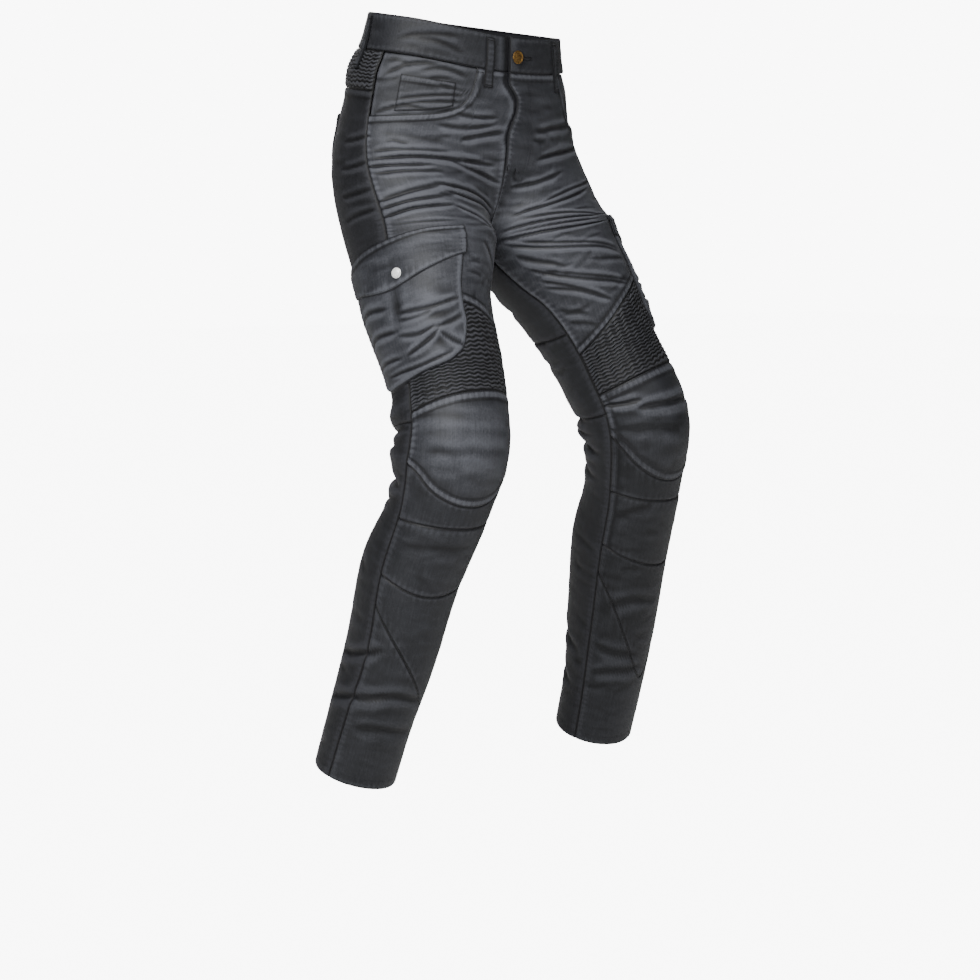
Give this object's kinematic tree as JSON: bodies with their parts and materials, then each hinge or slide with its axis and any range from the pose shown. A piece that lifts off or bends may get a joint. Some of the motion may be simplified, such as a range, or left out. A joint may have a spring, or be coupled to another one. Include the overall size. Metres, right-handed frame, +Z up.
{
  "type": "motorcycle trousers",
  "caption": "Slim riding trousers in waxed denim with ribbed stretch above the knees and at the back yoke, padded knee panels, thigh pockets with snap flaps and a buttoned waist.",
  "frame": {"origin": "middle of the waist opening at its edge, where the wearer's waist holds the trousers", "axes": "+Z up out of the waist, the front faces -Y, the wearer's left is +X"},
  "size_m": [0.5381, 0.3526, 0.998],
  "materials": {
    "waxed_denim": "charcoal waxed stretch denim, fine twill, soft sheen",
    "facing_denim": "charcoal denim of the pocket facing",
    "rib_stretch": "near-black pleated stretch cloth",
    "brass": "aged brass",
    "snap_metal": "bright satin metal"
  },
  "bodies": {
    "root": {"waistband_right": "waxed_denim", "waistband_left": "waxed_denim", "belt_loop_front_right": "waxed_denim", "belt_loop_front_left": "waxed_denim", "belt_loop_side_right": "waxed_denim", "belt_loop_side_left": "waxed_denim", "belt_loop_back": "waxed_denim", "front_panel_right": "waxed_denim", "front_panel_left": "waxed_denim", "knee_panel_right": "waxed_denim", "knee_panel_left": "waxed_denim", "shin_upper_right": "waxed_denim", "shin_upper_left": "waxed_denim", "shin_middle_right": "waxed_denim", "shin_middle_left": "waxed_denim", "shin_point_right": "waxed_denim", "shin_point_left": "waxed_denim", "shin_lower_right": "waxed_denim", "shin_lower_left": "waxed_denim", "seat_right": "waxed_denim", "seat_left": "waxed_denim", "back_thigh_right": "waxed_denim", "back_thigh_left": "waxed_denim", "calf_right": "waxed_denim", "calf_left": "waxed_denim", "back_pocket_right": "waxed_denim", "back_pocket_left": "waxed_denim", "cargo_pocket_right": "waxed_denim", "cargo_pocket_left": "waxed_denim", "cargo_flap_right": "waxed_denim", "cargo_flap_left": "waxed_denim", "pocket_facing_right": "facing_denim", "pocket_facing_left": "facing_denim", "coin_pocket": "facing_denim", "back_yoke_right": "rib_stretch", "back_yoke_left": "rib_stretch", "knee_ribs_right": "rib_stretch", "knee_ribs_left": "rib_stretch", "waist_button": "brass", "cargo_snap_right": "snap_metal", "cargo_snap_left": "snap_metal"}
  },
  "joints": []
}
